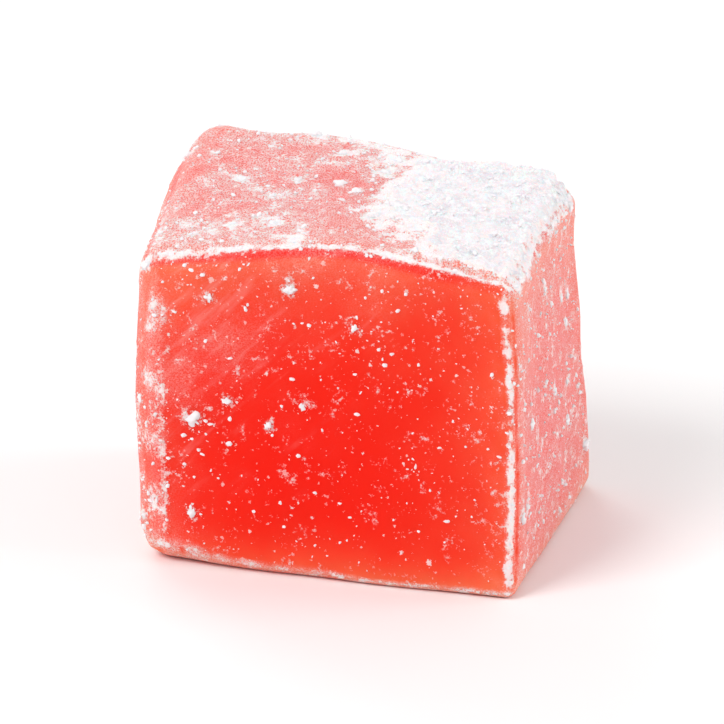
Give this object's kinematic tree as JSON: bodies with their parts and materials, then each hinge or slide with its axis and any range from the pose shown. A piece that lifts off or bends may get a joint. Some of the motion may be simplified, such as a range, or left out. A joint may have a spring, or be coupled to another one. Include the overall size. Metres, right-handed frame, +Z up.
{
  "type": "turkish delight",
  "caption": "Rose Turkish delight: a hand-cut block of starch jelly with softly rounded edges, a ridged top under a drift of sugar and starch, and a flat base.",
  "frame": {"origin": "middle of the outline in X and Y, on the flat base", "axes": "+Z up; -Y out of the bare front cut face; +X to the right seen from the front, along the longest side"},
  "size_m": [0.0248, 0.0196, 0.022],
  "materials": {
    "rose_jelly": "translucent red starch jelly, satin on the bare cut face, clouded pale pink where it is dusted",
    "starch_dust": "matt white icing sugar and starch, loose grains and soft clots"
  },
  "bodies": {
    "root": {"rose_lokum": "rose_jelly"}
  },
  "joints": []
}
